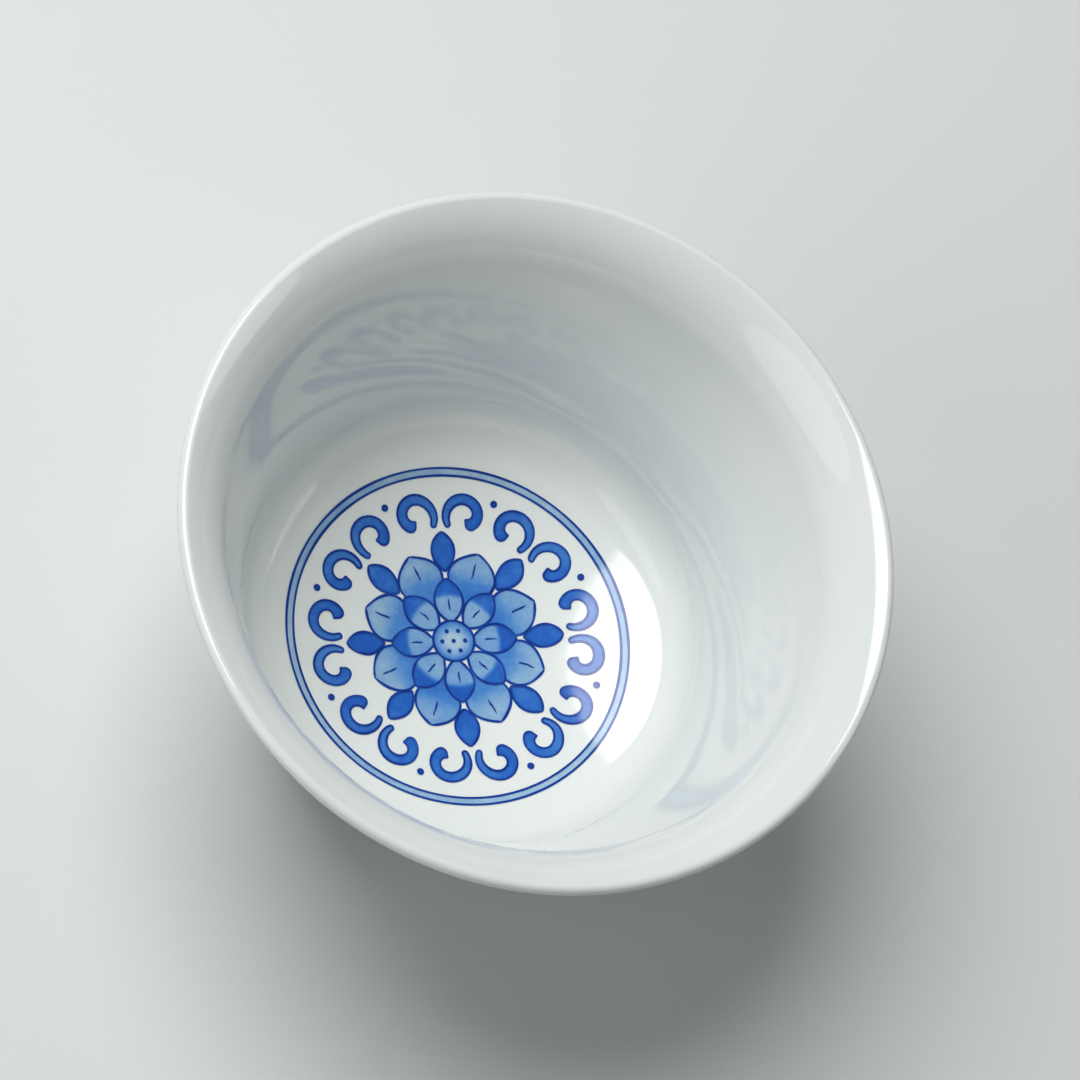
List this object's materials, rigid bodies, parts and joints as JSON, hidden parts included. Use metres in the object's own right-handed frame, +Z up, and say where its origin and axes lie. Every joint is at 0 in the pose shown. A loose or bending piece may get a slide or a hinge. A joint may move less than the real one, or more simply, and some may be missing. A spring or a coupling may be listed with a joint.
{
  "type": "teacup",
  "caption": "Small white porcelain teacup with a flared lip, a turned foot ring and a plain cobalt-blue flower rosette painted inside a double ring on its floor.",
  "frame": {"origin": "centre of the plane that the foot ring stands on", "axes": "+Z up through the mouth; +Y along the middle of the rosette's first inner petal; +X a quarter turn clockwise from it seen from above"},
  "size_m": [0.0798, 0.0798, 0.0442],
  "materials": {
    "clay": "bare fired white clay, smooth and matt",
    "glaze": "clear glossy glaze over white clay, with a faint grey-green cast",
    "cobalt_dark": "strong cobalt line or wash under a glossy glaze",
    "cobalt_mid": "medium cobalt wash under a glossy glaze",
    "cobalt_pale": "thin, watery cobalt wash under a glossy glaze"
  },
  "bodies": {
    "root": {"bowl_body": "clay", "foot_ring": "clay", "inner_glaze": "glaze", "outer_glaze": "glaze", "base_glaze": "glaze", "ring_outer_line": "cobalt_dark", "ring_inner_line": "cobalt_dark", "ring_wash": "cobalt_pale", "seed_pod": "cobalt_pale", "petal_inner_1": "cobalt_mid", "petal_outer_1": "cobalt_pale", "leaf_1": "cobalt_dark", "scroll_1_left": "cobalt_mid", "scroll_1_right": "cobalt_mid", "petal_inner_2": "cobalt_mid", "petal_outer_2": "cobalt_pale", "leaf_2": "cobalt_dark", "scroll_2_left": "cobalt_mid", "scroll_2_right": "cobalt_mid", "petal_inner_3": "cobalt_mid", "petal_outer_3": "cobalt_pale", "leaf_3": "cobalt_dark", "scroll_3_left": "cobalt_mid", "scroll_3_right": "cobalt_mid", "petal_inner_4": "cobalt_mid", "petal_outer_4": "cobalt_pale", "leaf_4": "cobalt_dark", "scroll_4_left": "cobalt_mid", "scroll_4_right": "cobalt_mid", "petal_inner_5": "cobalt_mid", "petal_outer_5": "cobalt_pale", "leaf_5": "cobalt_dark", "scroll_5_left": "cobalt_mid", "scroll_5_right": "cobalt_mid", "petal_inner_6": "cobalt_mid", "petal_outer_6": "cobalt_pale", "leaf_6": "cobalt_dark", "scroll_6_left": "cobalt_mid", "scroll_6_right": "cobalt_mid", "petal_inner_7": "cobalt_mid", "petal_outer_7": "cobalt_pale", "leaf_7": "cobalt_dark", "scroll_7_left": "cobalt_mid", "scroll_7_right": "cobalt_mid", "petal_inner_8": "cobalt_mid", "petal_outer_8": "cobalt_pale", "leaf_8": "cobalt_dark", "scroll_8_left": "cobalt_mid", "scroll_8_right": "cobalt_mid"}
  },
  "joints": []
}
